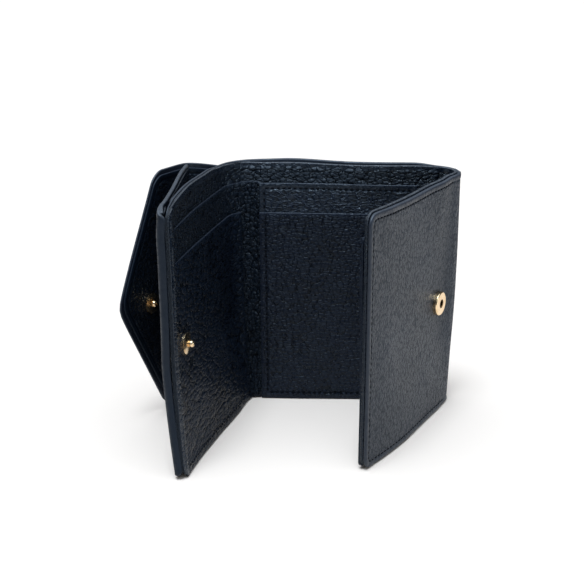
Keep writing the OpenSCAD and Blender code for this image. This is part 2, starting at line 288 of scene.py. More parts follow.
def sheet(name, surf, span, z_low, z_top, thick, material, rho=0.9, corners=(0, 0), ends=(1, 1),
          step=2.0, out=None, inn=None, warp=None, grain_shift=0.0, flip=1):
    """Closed leather sheet with rounded edges.

    span is its run, z_low and z_top functions or numbers, thick a number or a function of the
    run, rho the share of half the thickness that the edge rounds off, corners the radius at each
    end, ends whether an end is a finished edge. out and inn add relief to the two faces from a
    point's run, height, distance from the finished edges and distance from the top. warp moves
    the flat pattern's points. grain_shift and flip place the sheet in the grain pattern."""
    low = z_low if callable(z_low) else (lambda s: 0 * s + z_low)
    top = z_top if callable(z_top) else (lambda s: 0 * s + z_top)
    th = thick if callable(thick) else (lambda s: 0 * s + thick)
    s0, s1 = span
    mid = np.array([(s0 + s1) / 2])
    height = float(top(mid)[0] - low(mid)[0])
    bevel = rho * (float(th(mid)[0]) / 2)
    cols = steps(s0, s1, step, bevel, *ends)
    rows = steps(0.0, height, 2.6, bevel, True, True)
    s, z = np.meshgrid(cols, rows, indexing="ij")
    for end, r in zip((0, 1), corners):
        if r > 0:
            for up in (0, 1):
                a = (s - (s1 - r)) if end else ((s0 + r) - s)
                b = (z - (height - r)) if up else (r - z)
                a2, b2 = round_corner(a, b)
                s = np.where((a > 0) & (b > 0), (s1 - r + a2) if end else (s0 + r - a2), s)
                z = np.where((a > 0) & (b > 0), (height - r + b2) if up else (r - b2), z)
    if warp:
        s, z = warp(s, z)
    zone = min(EDGE_REACH, height / 3)
    lo, hi = low(s), top(s)
    inner = lo + zone + (z - zone) * (hi - lo - 2 * zone) / (height - 2 * zone)
    z = np.where(z < zone, lo + z, np.where(z > height - zone, hi - (height - z), inner))
    d = edge_distance(s, z, not ends[0], not ends[1])
    k = 1 - np.clip(d / bevel, 0, 1)
    half = th(s) / 2 - bevel + bevel * np.sqrt(np.maximum(0, 1 - k * k))
    outer = surf(s, z, half + (out(s, z, d, hi - z) if out else 0))
    inward = surf(s, z, -half - (inn(s, z, d, hi - z) if inn else 0))
    ni, nj = s.shape
    verts = np.vstack([outer.reshape(-1, 3), inward.reshape(-1, 3)]) * MM
    idx = np.arange(ni * nj).reshape(ni, nj)
    faces, other = [], ni * nj
    for i in range(ni - 1):
        for j in range(nj - 1):
            a, b, c, e = idx[i, j], idx[i + 1, j], idx[i + 1, j + 1], idx[i, j + 1]
            faces.append((a, b, c, e))
            faces.append((a + other, e + other, c + other, b + other))
    rim = (
        [(idx[i, 0], idx[i + 1, 0]) for i in range(ni - 1)]
        + [(idx[-1, j], idx[-1, j + 1]) for j in range(nj - 1)]
        + [(idx[i + 1, -1], idx[i, -1]) for i in reversed(range(ni - 1))]
        + [(idx[0, j + 1], idx[0, j]) for j in reversed(range(nj - 1))]
    )
    faces += [(b, a, a + other, b + other) for a, b in rim]
    faces = [tuple(int(v) for v in f) for f in faces]
    obj = make_mesh(name, verts, faces, material)
    mesh = obj.data
    if signed_volume(verts, faces) < 0:
        mesh.flip_normals()
    sharpen(mesh, [idx[k] + side for k, done in ((0, ends[0]), (-1, ends[1])) if not done
                   for side in (0, other)])
    uv = np.stack([flip * s.ravel() + grain_shift, z.ravel()], -1)
    uv = np.vstack([uv, uv + np.array([37.0, 19.0])]) * 0.01
    layer = mesh.uv_layers.new(name="UVMap")
    loops = np.zeros(len(mesh.loops), np.int32)
    mesh.loops.foreach_get("vertex_index", loops)
    layer.data.foreach_set("uv", uv[loops].astype(np.float32).ravel())
    edge = mesh.attributes.new("edge_mm", "FLOAT", "POINT")
    edge.data.foreach_set("value", np.concatenate([d.ravel(), d.ravel()]).astype(np.float32))
    return obj


def sharpen(mesh, columns):
    """Keeps the shading of two halves equal where they meet end to end."""
    marks = np.zeros(len(mesh.edges), bool)
    pairs = np.zeros(2 * len(mesh.edges), np.int32)
    mesh.edges.foreach_get("vertices", pairs)
    pairs = pairs.reshape(-1, 2)
    for column in columns:
        marks |= np.isin(pairs[:, 0], column) & np.isin(pairs[:, 1], column)
    layer = mesh.attributes.get("sharp_edge") or mesh.attributes.new("sharp_edge", "BOOLEAN", "EDGE")
    layer.data.foreach_set("value", marks)


def signed_volume(verts, faces):
    """Negative if the faces of a closed mesh point inward."""
    v = np.asarray(verts)
    f = np.array([(a, b, c) for a, b, c, _ in faces] + [(a, c, e) for a, _, c, e in faces])
    return float(np.einsum("ij,ij->i", v[f[:, 0]], np.cross(v[f[:, 1]], v[f[:, 2]])).sum())


# ---- reliefs ----
def groove(d, at=EDGE_SEAM, deep=0.24, wide=0.26):
    return -deep * np.exp(-(((d - at) / wide) ** 2))


def rolled_edge(s, z, d, from_top):
    """Turned edge: a low round bead and a pressed crease beside it."""
    return 0.2 * np.exp(-(((d - 1.1) / 0.75) ** 2)) + groove(d)


def lip_edge(s, z, d, from_top):
    return groove(from_top, 2.9, 0.12, 0.3)


# ---- stitches ----
# Cross-sections of one stitch: place along it, height and radius.
STITCH_PROFILE = [(-1.0, -0.32, 0.06), (-0.86, -0.12, 0.2), (-0.5, 0.02, 0.27), (0.0, 0.05, 0.29),
                  (0.5, 0.02, 0.27), (0.86, -0.12, 0.2), (1.0, -0.32, 0.06)]
STITCH_WIDTH = 1.15


def stitches(name, rows, material, length=1.4, sides=8):
    """Thread in even stitches along rows of (surface, points in the flat pattern, side, lift)."""
    verts, faces = [], []
    for surf, line, side, lift in rows:
        pts = np.array(line, float)
        run = np.concatenate([[0], np.cumsum(np.linalg.norm(np.diff(pts, axis=0), axis=1))])
        count = int(run[-1] / PITCH)
        for k in range(count):
            mid = (k + 0.5) * run[-1] / count
            base = len(verts)
            for along, up, rad in STITCH_PROFILE:
                here = mid + along * length / 2
                s = np.interp(here, run, pts[:, 0])
                z = np.interp(here, run, pts[:, 1])
                p0 = surf(np.array([s]), np.array([z]), np.array([side * lift]))[0]
                p1 = surf(np.array([s]), np.array([z]), np.array([side * (lift + 1)]))[0]
                n = (p1 - p0) / np.linalg.norm(p1 - p0)
                s2 = np.interp(here + 0.3, run, pts[:, 0])
                z2 = np.interp(here + 0.3, run, pts[:, 1])
                t = surf(np.array([s2]), np.array([z2]), np.array([side * lift]))[0] - p0
                b = np.cross(n, t / np.linalg.norm(t))
                for i in range(sides):
                    ang = 2 * math.pi * i / sides
                    rise = up + rad * math.sin(ang)
                    verts.append((p0 + n * rise + b * rad * STITCH_WIDTH * math.cos(ang)) * MM)
            for r in range(len(STITCH_PROFILE) - 1):
                for i in range(sides):
                    j = (i + 1) % sides
                    a = base + r * sides
                    faces.append((a + i, a + j, a + sides + j, a + sides + i))
            faces.append(tuple(base + i for i in reversed(range(sides))))
            last = base + (len(STITCH_PROFILE) - 1) * sides
            faces.append(tuple(last + i for i in range(sides)))
    return make_mesh(name, verts, faces, material)


# ---- materials ----
def new_material(name):
    mat = bpy.data.materials.new(name)
    mat.use_nodes = True
    tree = mat.node_tree
    tree.nodes.clear()
    out = tree.nodes.new("ShaderNodeOutputMaterial")
    bsdf = tree.nodes.new("ShaderNodeBsdfPrincipled")
    tree.links.new(bsdf.outputs["BSDF"], out.inputs["Surface"])
    return mat, tree, bsdf


def math_node(tree, op, a, b=None, c=None, clamp=False):
    node = tree.nodes.new("ShaderNodeMath")
    node.operation = op
    node.use_clamp = clamp
    for i, v in enumerate((a, b, c)):
        if v is None:
            continue
        if isinstance(v, (int, float)):
            node.inputs[i].default_value = v
        else:
            tree.links.new(v, node.inputs[i])
    return node.outputs[0]


def ramp(tree, value, low, high, to_low=0.0, to_high=1.0):
    node = tree.nodes.new("ShaderNodeMapRange")
    node.interpolation_type = "SMOOTHSTEP"
    for key, v in (("From Min", low), ("From Max", high), ("To Min", to_low), ("To Max", to_high)):
        node.inputs[key].default_value = v
    tree.links.new(value, node.inputs["Value"])
    return node.outputs["Result"]


def noise(tree, vec, scale, detail=2.0, rough=0.5, distortion=0.0):
    node = tree.nodes.new("ShaderNodeTexNoise")
    node.inputs["Scale"].default_value = scale
    node.inputs["Detail"].default_value = detail
    node.inputs["Roughness"].default_value = rough
    node.inputs["Distortion"].default_value = distortion
    tree.links.new(vec, node.inputs["Vector"])
    return node


def mix_colour(tree, fac, a, b):
    node = tree.nodes.new("ShaderNodeMix")
    node.data_type = "RGBA"
    for socket, v in ((node.inputs[0], fac), (node.inputs[6], a), (node.inputs[7], b)):
        if isinstance(v, (tuple, float, int)):
            socket.default_value = v
        else:
            tree.links.new(v, socket)
    return node.outputs[2]


def mapped(tree, vec, scale=(1, 1, 1), turn=0.0):
    node = tree.nodes.new("ShaderNodeMapping")
    node.inputs["Scale"].default_value = scale
    node.inputs["Rotation"].default_value = (0, 0, turn)
    tree.links.new(vec, node.inputs["Vector"])
    return node.outputs["Vector"]


def cells(tree, vec, scale, feature="F1"):
    node = tree.nodes.new("ShaderNodeTexVoronoi")
    node.feature = feature
    node.inputs["Scale"].default_value = scale
    tree.links.new(vec, node.inputs["Vector"])
    return node.outputs["Distance"]


SHEEN = (0.80, 0.91, 1.0, 1)


def leather(name, base, valley_shade, worn_and_top_lit, cell=1.8, stretch=(1.0, 1.0), turn=0.0, rough=(0.28, 0.5),
            depth=0.3, smooth_edge=2.6, specular=0.4, flat=0.12, band_tone=None, ridge=0.0):
    """Pebbled leather. Pattern coordinates are the sheet's own millimetres, so grain follows folds.

    cell is the size of one pebble, stretch and turn its proportions and lie, depth the height of
    the grain, ridge how far the net between pebbles stands up instead of sinking in. Within
    smooth_edge of a finished edge the grain is pressed down to the share flat."""
    mat, tree, bsdf = new_material(name)
    uv = tree.nodes.new("ShaderNodeUVMap")
    uv.uv_map = "UVMap"
    mm = mapped(tree, uv.outputs["UV"], (100.0, 100.0, 1.0))
    wobble = noise(tree, mm, 0.4 * 1.8 / cell, 3.0, 0.55)
    warp = tree.nodes.new("ShaderNodeVectorMath")
    warp.operation = "MULTIPLY_ADD"
    tree.links.new(wobble.outputs["Color"], warp.inputs[0])
    warp.inputs[1].default_value = (0.8 * cell, 0.8 * cell, 0.0)
    tree.links.new(mm, warp.inputs[2])
    shaped = mapped(tree, warp.outputs[0], (stretch[0] / cell, stretch[1] / cell, 1.0), turn)
    valleys = ramp(tree, cells(tree, shaped, 1.0, "DISTANCE_TO_EDGE"), 0.0, 0.17)
    dome = math_node(tree, "POWER", cells(tree, shaped, 1.0), 2.0)
    small = ramp(tree, cells(tree, shaped, 2.3, "DISTANCE_TO_EDGE"), 0.0, 0.24)
    creases = noise(tree, shaped, 0.7, 3.0, 0.6, 0.5)
    folds = ramp(tree, creases.outputs["Fac"], 0.40, 0.60)
    grain = math_node(tree, "MULTIPLY_ADD", dome, -0.9 + 0.8 * ridge, 0.35 + 0.45 * ridge)
    grain = math_node(tree, "MULTIPLY_ADD", valleys, 0.4 - 1.1 * ridge, grain)
    grain = math_node(tree, "MULTIPLY_ADD", small, 0.1, grain)
    grain = math_node(tree, "MULTIPLY_ADD", folds, 0.25, grain)
    edge = tree.nodes.new("ShaderNodeAttribute")
    edge.attribute_name = "edge_mm"
    patch = noise(tree, mm, 0.07, 2.0, 0.5)
    strength = ramp(tree, patch.outputs["Fac"], 0.3, 0.7, 0.6, 1.0)
    band = ramp(tree, edge.outputs["Fac"], smooth_edge - 0.5, smooth_edge + 0.5)
    strength = math_node(tree, "MULTIPLY", strength,
                         math_node(tree, "MULTIPLY_ADD", band, 1.0 - flat, flat))
    height = math_node(tree, "MULTIPLY", grain, strength)
    bump = tree.nodes.new("ShaderNodeBump")
    bump.inputs["Strength"].default_value = 1.0
    bump.inputs["Distance"].default_value = depth * MM
    tree.links.new(height, bump.inputs["Height"])
    tree.links.new(bump.outputs["Normal"], bsdf.inputs["Normal"])
    tone = noise(tree, mm, 0.035, 3.0, 0.6)
    # Painted shade: the colour is darker where the grain is lower, standing in for the shade in its
    # hollows.
    crest = ramp(tree, grain, 0.1, 0.8)
    colour = mix_colour(tree, crest, valley_shade, base)
    lighter = tuple(min(1.0, c * 1.35) for c in base[:3]) + (1.0,)
    colour = mix_colour(tree, ramp(tree, tone.outputs["Fac"], 0.35, 0.75, 0.0, 0.6), colour, lighter)
    colour = mix_colour(tree, band, band_tone or base, colour)
    rub = noise(tree, mm, 0.6, 3.0, 0.6)
    shape = tree.nodes.new("ShaderNodeNewGeometry")
    facing = tree.nodes.new("ShaderNodeSeparateXYZ")
    tree.links.new(shape.outputs["True Normal"], facing.inputs[0])
    # Paler edges: real wear near finished edges, rubbed unevenly, plus a painted highlight: edges that
    # face up are made much paler, as if catching the overhead light.
    edge_wear_and_top_light = math_node(tree, "MULTIPLY", ramp(tree, edge.outputs["Fac"], 0.75, 0.1),
                     ramp(tree, rub.outputs["Fac"], 0.3, 0.65, 0.5, 1.0))
    edge_wear_and_top_light = math_node(tree, "MULTIPLY", edge_wear_and_top_light, ramp(tree, facing.outputs["Z"], 0.3, 0.8, 0.05, 1.0))
    colour = mix_colour(tree, edge_wear_and_top_light, colour, worn_and_top_lit)
    tree.links.new(colour, bsdf.inputs["Base Color"])
    gloss = math_node(tree, "MULTIPLY_ADD", rub.outputs["Fac"], 0.08, -0.04)
    valley = ramp(tree, grain, 0.1, 0.8, rough[1], rough[0])
    tree.links.new(math_node(tree, "ADD", valley, gloss), bsdf.inputs["Roughness"])
    bsdf.inputs["Specular IOR Level"].default_value = specular
    bsdf.inputs["Specular Tint"].default_value = SHEEN
    return mat


def board_material():
    """Grey-brown stiffening card with fibres."""
    mat, tree, bsdf = new_material("board_card")
    uv = tree.nodes.new("ShaderNodeUVMap")
    uv.uv_map = "UVMap"
    mm = mapped(tree, uv.outputs["UV"], (100.0, 100.0, 1.0))
    fibres = noise(tree, mapped(tree, mm, (0.4, 2.2, 1.0)), 1.6, 5.0, 0.65)
    colour = mix_colour(tree, fibres.outputs["Fac"], (0.10, 0.092, 0.08, 1), (0.22, 0.2, 0.17, 1))
    tree.links.new(colour, bsdf.inputs["Base Color"])
    bump = tree.nodes.new("ShaderNodeBump")
    bump.inputs["Distance"].default_value = 0.03 * MM
    tree.links.new(fibres.outputs["Fac"], bump.inputs["Height"])
    tree.links.new(bump.outputs["Normal"], bsdf.inputs["Normal"])
    tree.links.new(ramp(tree, fibres.outputs["Fac"], 0.2, 0.8, 0.92, 0.75), bsdf.inputs["Roughness"])
    return mat


def thread_material():
    """Waxed navy thread with a fine twist."""
    mat, tree, bsdf = new_material("navy_thread")
    pos = tree.nodes.new("ShaderNodeTexCoord")
    mm = mapped(tree, pos.outputs["Object"], (1000.0, 1000.0, 1000.0))
    wave = tree.nodes.new("ShaderNodeTexWave")
    wave.bands_direction = "DIAGONAL"
    wave.inputs["Scale"].default_value = 1.5
    wave.inputs["Distortion"].default_value = 1.0
    tree.links.new(mm, wave.inputs["Vector"])
    fuzz = noise(tree, mm, 3.0, 3.0, 0.6)
    twist = math_node(tree, "MULTIPLY_ADD", fuzz.outputs["Fac"], 0.4, wave.outputs["Fac"])
    colour = mix_colour(tree, ramp(tree, twist, 0.2, 1.1), (0.0007, 0.0011, 0.0020, 1),
                        (0.0035, 0.0050, 0.0090, 1))
    tree.links.new(colour, bsdf.inputs["Base Color"])
    tree.links.new(ramp(tree, twist, 0.2, 1.1, 0.85, 0.6), bsdf.inputs["Roughness"])
    bsdf.inputs["Specular IOR Level"].default_value = 0.07
    bump = tree.nodes.new("ShaderNodeBump")
    bump.inputs["Distance"].default_value = 0.05 * MM
    tree.links.new(twist, bump.inputs["Height"])
    tree.links.new(bump.outputs["Normal"], bsdf.inputs["Normal"])
    return mat


def gold_material(name, colour, deeper, rough):
    """Plated brass with faint turning marks and slight tarnish."""
    mat, tree, bsdf = new_material(name)
    pos = tree.nodes.new("ShaderNodeTexCoord")
    mm = mapped(tree, pos.outputs["Object"], (1000.0, 1000.0, 1000.0))
    cloud = noise(tree, mm, 0.6, 4.0, 0.6)
    scratch = noise(tree, mapped(tree, mm, (1.0, 1.0, 9.0)), 2.4, 3.0, 0.6)
    tint = mix_colour(tree, ramp(tree, cloud.outputs["Fac"], 0.3, 0.75), colour, deeper)
    tree.links.new(tint, bsdf.inputs["Base Color"])
    bsdf.inputs["Metallic"].default_value = 1.0
    gloss = math_node(tree, "MULTIPLY_ADD", scratch.outputs["Fac"], 0.16, rough - 0.08)
    tree.links.new(gloss, bsdf.inputs["Roughness"])
    bump = tree.nodes.new("ShaderNodeBump")
    bump.inputs["Strength"].default_value = 0.35
    bump.inputs["Distance"].default_value = 0.03 * MM
    tree.links.new(scratch.outputs["Fac"], bump.inputs["Height"])
    tree.links.new(bump.outputs["Normal"], bsdf.inputs["Normal"])
    return mat


NAVY = (0.0042, 0.0080, 0.0152, 1)
# Valley colour: painted shade in the grain's hollows.
NAVY_VALLEY_SHADE = (0.0011, 0.0022, 0.0044, 1)
EDGE_NAVY = (0.0062, 0.0104, 0.0185, 1)
# Edge colours: wear, also used as a painted highlight on edges that face up.
WORN_AND_TOP_LIT = (0.034, 0.040, 0.054, 1)
PALE_WORN_AND_TOP_LIT = (0.105, 0.110, 0.120, 1)
outer_leather = leather("outer_leather", (0.0100, 0.0145, 0.0245, 1), (0.0048, 0.0072, 0.0130, 1),
                        (0.070, 0.076, 0.088, 1), cell=1.2, stretch=(1.4, 0.7), turn=0.2,
                        depth=0.36, rough=(0.36, 0.6), specular=0.45, smooth_edge=2.2,
                        band_tone=(0.0085, 0.0120, 0.0215, 1))
inner_leather = leather("inner_leather", NAVY, NAVY_VALLEY_SHADE, PALE_WORN_AND_TOP_LIT, cell=1.85, stretch=(0.8, 1.35),
                        turn=-0.15, depth=1.0, rough=(0.42, 0.18), specular=0.33, smooth_edge=1.9,
                        flat=0.3, band_tone=EDGE_NAVY)
upper_slot_leather = leather("upper_slot_leather", (0.0120, 0.0175, 0.0300, 1), NAVY_VALLEY_SHADE, WORN_AND_TOP_LIT,
                             cell=1.8, stretch=(0.75, 1.3), turn=-0.35, depth=0.8,
                             rough=(0.22, 0.46), ridge=1.0, specular=0.31, smooth_edge=2.9, flat=0.2,
                             band_tone=EDGE_NAVY)
fold_leather = leather("fold_leather", NAVY, NAVY_VALLEY_SHADE, WORN_AND_TOP_LIT, cell=1.4, turn=-0.35, depth=0.9,
                       rough=(0.44, 0.13), specular=0.18, smooth_edge=0.8, flat=0.3,
                       band_tone=EDGE_NAVY)
slot_leather = leather("slot_leather", (0.0052, 0.0085, 0.0175, 1), (0.0016, 0.0028, 0.0062, 1), WORN_AND_TOP_LIT,
                       cell=1.45, stretch=(0.85, 1.3), turn=-0.3, depth=0.42, rough=(0.42, 0.22),
                       specular=0.2, smooth_edge=0.9, flat=0.3)
coin_slot_leather = leather("coin_slot_leather", (0.0052, 0.0092, 0.0180, 1), NAVY_VALLEY_SHADE, WORN_AND_TOP_LIT,
                            cell=2.1, stretch=(0.65, 1.3), turn=0.2, depth=1.05,
                            rough=(0.46, 0.24), specular=0.115, smooth_edge=0.8, flat=0.3)
wall_leather = leather("wall_leather", (0.0075, 0.0105, 0.0185, 1), (0.0030, 0.0044, 0.0082, 1),
                       PALE_WORN_AND_TOP_LIT, cell=1.15, stretch=(1.35, 0.75), turn=0.2, depth=0.3,
                       rough=(0.36, 0.6), specular=0.22, smooth_edge=2.2, band_tone=EDGE_NAVY)
flap_leather = leather("flap_leather", NAVY, NAVY_VALLEY_SHADE, WORN_AND_TOP_LIT, cell=1.4, depth=0.5,
                       rough=(0.34, 0.55), specular=0.12)
board_card = board_material()
navy_thread = thread_material()
gold = gold_material("pale_gold", (0.86, 0.66, 0.42, 1), (0.74, 0.52, 0.29, 1), 0.22)
gold_dark = gold_material("spring_gold", (0.62, 0.46, 0.26, 1), (0.42, 0.30, 0.17, 1), 0.3)


# ---- heights of the edges ----
def follow(knots):
    """Smooth curve through a few (run, height) points."""
    xs, ys = np.array(knots, float).T

    def height(s):
        s = np.asarray(s, float)
        i = np.clip(np.searchsorted(xs, s) - 1, 0, len(xs) - 2)
        return ys[i] + (ys[i + 1] - ys[i]) * smooth((s - xs[i]) / (xs[i + 1] - xs[i]))

    return height


front_top = follow([(-36, 95.2), (-10, 95.4), (10, 92.5), (44, 91.8), (79, 92.9)])
coin_top = follow([(-35, 95.2), (-14, 95.8), (-2, 95.5), (12, 95.6), (26, 96.8), (50, 97.0),
                   (80, 95.4)])
front_lining_top = follow([(-36, 94.6), (-10, 94.9), (10, 92.9), (44, 92.3), (79, 93.4)])
coin_lining_top = follow([(-35, 94.6), (-14, 95.0), (-2, 94.9), (12, 95.5), (26, 96.7), (50, 96.9),
                          (80, 95.3)])

FRONT_BLEND = {"start": (0.0345, -0.0015, 0.05), "end": (0.0375, -0.0085, 0.05)}
COIN_BLEND = {"start": (-0.0345, -0.0045, 0.05), "end": (-0.0395, -0.0125, 0.05)}


def bend(obj, a, b, place, slot, *nodes):
    if nodes:
        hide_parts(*nodes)
    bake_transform(obj)


def carry(obj, body, slot, *nodes):
    if nodes:
        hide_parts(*nodes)
    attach(obj, body)


# ---- outer cover ----
cover_front = front_surface(3.9, 5.0)
cover_coin = coin_surface(8.3, 10.1)
cover_right = sheet("cover_front_half", cover_front, (MID_FRONT, FRONT_END), 0.0, front_top, 1.4,
                    outer_leather, corners=(0, CORNER), ends=(0, 1), step=1.6, out=rolled_edge)
bend(cover_right, "back", "front_panel", FRONT_BLEND, "outer_leather",
     "back_shell", "front_spine_shell", "front_shell")
cover_left = sheet("cover_coin_half", cover_coin, (MID_COIN, COIN_END - 1.3), 0.0, coin_top,
                   lambda t: 1.4 - 0.55 * ease(t, 0, 14), outer_leather, corners=(0, CORNER),
                   ends=(0, 1), step=1.6, out=rolled_edge, grain_shift=GRAIN_SHIFT, flip=-1)
bend(cover_left, "back", "coin_panel", COIN_BLEND, "outer_leather",
     "coin_spine_shell", "coin_pocket_back")


# ---- stiffening boards ----
back_card = sheet("back_card", front_surface(2.85, 2.85), (-69.0, -3.0), 2.0, 91.5, 0.5, board_card,
                  rho=0.5, corners=(2, 2))
carry(back_card, "back", "board", "back_board")
front_card = sheet("front_card", front_surface(4.1, 4.1), (FRONT_ARC + 7, FRONT_END - 3), 3.0, 88.5,
                   0.3, board_card, rho=0.5, corners=(2, 2))
carry(front_card, "front_panel", "board", "front_board")
coin_card = sheet("coin_card", coin_surface(9.5, 9.5), (COIN_ARC + 9, COIN_END - 3), 3.0, 91.5, 0.2,
                  board_card, rho=0.5, corners=(2, 2))
carry(coin_card, "coin_panel", "board", "coin_panel_board")


# ---- linings ----
def lining_face(s, z, d, from_top):
    return 0.10 * (1 - ease(from_top, 2.9, 3.5)) + groove(from_top, 3.1, 0.12, 0.3)


def front_bead(s, z, d, from_top):
    """Turned edge along the front panel's free edge."""
    return 0.45 * ease(s, FRONT_END - 2.0, FRONT_END - 1.5) + lining_face(s, z, d, from_top)


def lining_front_surface():
    inner = front_surface(1.0, 3.5)
    near = front_surface(2.9, 3.5)

    def place(s, z, off):
        k = ease(s, -12, 1)[..., None]
        return inner(s, z, off) * (1 - k) + near(s, z, off) * k

    return place


lining_front = sheet("lining_front_half", lining_front_surface(), (MID_FRONT, FRONT_END - 0.3), 0.2,
                     front_lining_top, lambda s: 0.85 + 0.35 * ease(s, -2, 8), inner_leather,
                     corners=(0, CORNER), ends=(0, 1), step=1.5, inn=front_bead)
bend(lining_front, "back", "front_panel", FRONT_BLEND, "inner_leather",
     "back_lining", "front_spine_lining", "front_lining")


def coin_bead(t, z, d, from_top):
    """Thick turned edge along the coin panel's free edge and top."""
    u = t - COIN_ARC
    side = ease(u, COIN_LEN - 4.0, COIN_LEN - 3.3)
    wrapped = 1.3 + 0.15 * (1 - ease(z, 87.0, 87.5)) + 0.15 * (1 - ease(z, 75.8, 76.3))
    wrapped = wrapped - 0.5 * ease(u, COIN_LEN - 1.6, COIN_LEN - 0.2)
    top = (1 - ease(from_top, 3.0, 3.7)) * ease(t, 2, 8)
    return np.maximum(wrapped * side, 0.1 * top) + lining_face(t, z, d, from_top)


def coin_bead_back(t, z, d, from_top):
    """The turned edge covers the raw end of the pocket's back wall."""
    return 0.8 * ease(t - COIN_ARC, COIN_LEN - 0.6, COIN_LEN - 0.2)


lining_coin = sheet("lining_coin_half", coin_surface(5.4, 9.05), (MID_COIN, COIN_END - 0.1), 0.2,
                    coin_lining_top, lambda t: 0.85 - 0.05 * ease(t, 0, 10), inner_leather,
                    corners=(0, CORNER), ends=(0, 1), step=1.4, inn=coin_bead, out=coin_bead_back,
                    grain_shift=GRAIN_SHIFT, flip=-1)
bend(lining_coin, "back", "coin_panel", COIN_BLEND, "inner_leather",
     "coin_spine_lining", "coin_panel_lining")


# ---- card slots ----
def stitched_lip(s, z, d, from_top):
    return 0.12 * (1 - ease(d, 2.9, 3.4)) + groove(d, LIP_SEAM, 0.2, 0.3)


def stitched_sides(s, z, d, from_top):
    """Turned edges at the sides and foot; the lip is a plain folded edge."""
    side = np.minimum(z, np.minimum(s - SLOT_S0, SLOT_S1 - s))
    return 0.12 * (1 - ease(side, 2.2, 2.8)) + groove(side, SIDE_SEAM, 0.22, 0.3)


centre_upper = sheet("centre_upper_slot", front_surface(0.2, 0.2), (SLOT_S0, SLOT_S1), 0.1,
                     UPPER_LIP, 0.75, upper_slot_leather, step=1.8, inn=stitched_lip)
carry(centre_upper, "back", "inner_leather", "back_upper_pocket")
centre_lower = sheet("centre_lower_slot", front_surface(-0.6, -0.6), (SLOT_S0, SLOT_S1),
                     0.05, LOWER_LIP, 0.8, slot_leather, step=1.8, inn=stitched_sides)
carry(centre_lower, "back", "inner_leather", "back_lower_pocket")


def front_slot_surface(rad):
    """The front panel's slots stand off from its lining near the free edge, more so higher up."""
    flat = front_surface(rad, rad)

    def place(s, z, off):
        splay = 1.15 * ease(z, 34, 74) * ease(s, FRONT_END - 5.5, FRONT_END - 1.2)
        return flat(s, z, off - splay)

    return place


def slot_thick(s):
    """The slots' ends are turned over, so they are thicker there."""
    return 0.65 + 0.4 * ease(s, FRONT_END - 3.4, FRONT_END - 2.0)


front_upper = sheet("front_upper_slot", front_slot_surface(2.5), (FRONT_ARC + 5, FRONT_END - 0.8),
                    0.4, 85.0, slot_thick, slot_leather, corners=(0, 2.4), inn=lip_edge)
carry(front_upper, "front_panel", "inner_leather", "front_upper_pocket")
front_lower = sheet("front_lower_slot", front_slot_surface(1.85), (FRONT_ARC + 6, FRONT_END - 0.9),
                    0.4, 74.5, slot_thick, slot_leather, corners=(0, 2.4), inn=lip_edge)
carry(front_lower, "front_panel", "inner_leather", "front_lower_pocket")


def wrap_surface():
    """The coin panel's upper slot: on the coin panel, round the fold and up to the centre slots."""
    far = coin_surface(4.5, 8.25)

    def place(t, z, off):
        wave = np.abs(np.sin(t * 1.05 + 0.5 * np.sin(0.13 * z) + 0.25 * np.sin(0.41 * z + 1.0)))
        crumple = (0.55 - 0.75 * wave**0.7) * ease(t, -1.5, 1) * (1 - ease(t, 6, 11))
        tuck = 0.4 * (1 - ease(t, -1.6, 1.5))
        return far(t, z, off + crumple + tuck)

    return place


coin_upper_top = follow([(-2, 88.0), (9, 87.8), (40, 88.0), (80, 87.6)])
coin_upper = sheet("coin_upper_slot", wrap_surface(), (-2.0, COIN_END - 2.4), 0.3, coin_upper_top,
                   0.7, fold_leather, step=0.7, ends=(0, 1), inn=lip_edge,
                   grain_shift=GRAIN_SHIFT, flip=-1)
bend(coin_upper, "back", "coin_panel", COIN_BLEND, "inner_leather", "coin_upper_pocket")
coin_lower = sheet("coin_lower_slot", coin_surface(3.8, 7.55), (COIN_ARC - 4.6, COIN_END - 2.4), 0.3,
                   LOWER_LIP, 0.7, coin_slot_leather, step=1.4, inn=lip_edge, rho=0.95,
                   grain_shift=GRAIN_SHIFT, flip=-1)
bend(coin_lower, "back", "coin_panel", COIN_BLEND, "inner_leather", "coin_lower_pocket")


# ---- coin pocket's front wall ----
def wall_point(along, out):
    """(u, w) of a point on the pocket's front wall, along from its hinge and outward."""
    c, s = math.cos(WALL_ANGLE), math.sin(WALL_ANGLE)
    return (WALL_HINGE[0] - along * c + out * s, WALL_HINGE[1] + along * s + out * c)


def wall_line(out, start, near):
    """Plan line of a wall layer from the edge of the coin panel to the pocket's mouth."""
    first = [(COIN_LEN - 0.55, 10.75), (COIN_LEN + 0.35, 11.3), (COIN_LEN + 0.2, 12.3)]
    rest = [wall_point(a, out) for a in (3.0, 8.0, 16.0, 26.0, 38.0, 50.0, WALL_END)]
    return (first if near else [wall_point(start, out)]) + rest


def wall_shape(s, z):
    """The pocket's wall follows the coin panel, lies against it at mid height of its free edge
    and higher up a little further along."""
    foot = coin_foot(z) * (1 - 0.35 * ease(s, 0, 60))
    middle = np.exp(-(((z - 62.0) / np.where(z > 62.0, 27.0, 34.0)) ** 2))
    edge = (1.15 * middle + 1.95 * np.clip((40.0 - z) / 40.0, 0, None)) * (1 - ease(s, 6, 28))
    edge = edge + (0.5 * ease(z, 64, 84) + 0.9 * ease(z, 84, 95)) * (1 - ease(s, 2, 9))
    upper = 1.6 * (1 - middle) * ease(z, 55, 85) * ease(s, 3, 13) * (1 - ease(s, 25, 58))
    return foot - edge - upper, coin_reach(z) * (1 - ease(s, 2, 60))


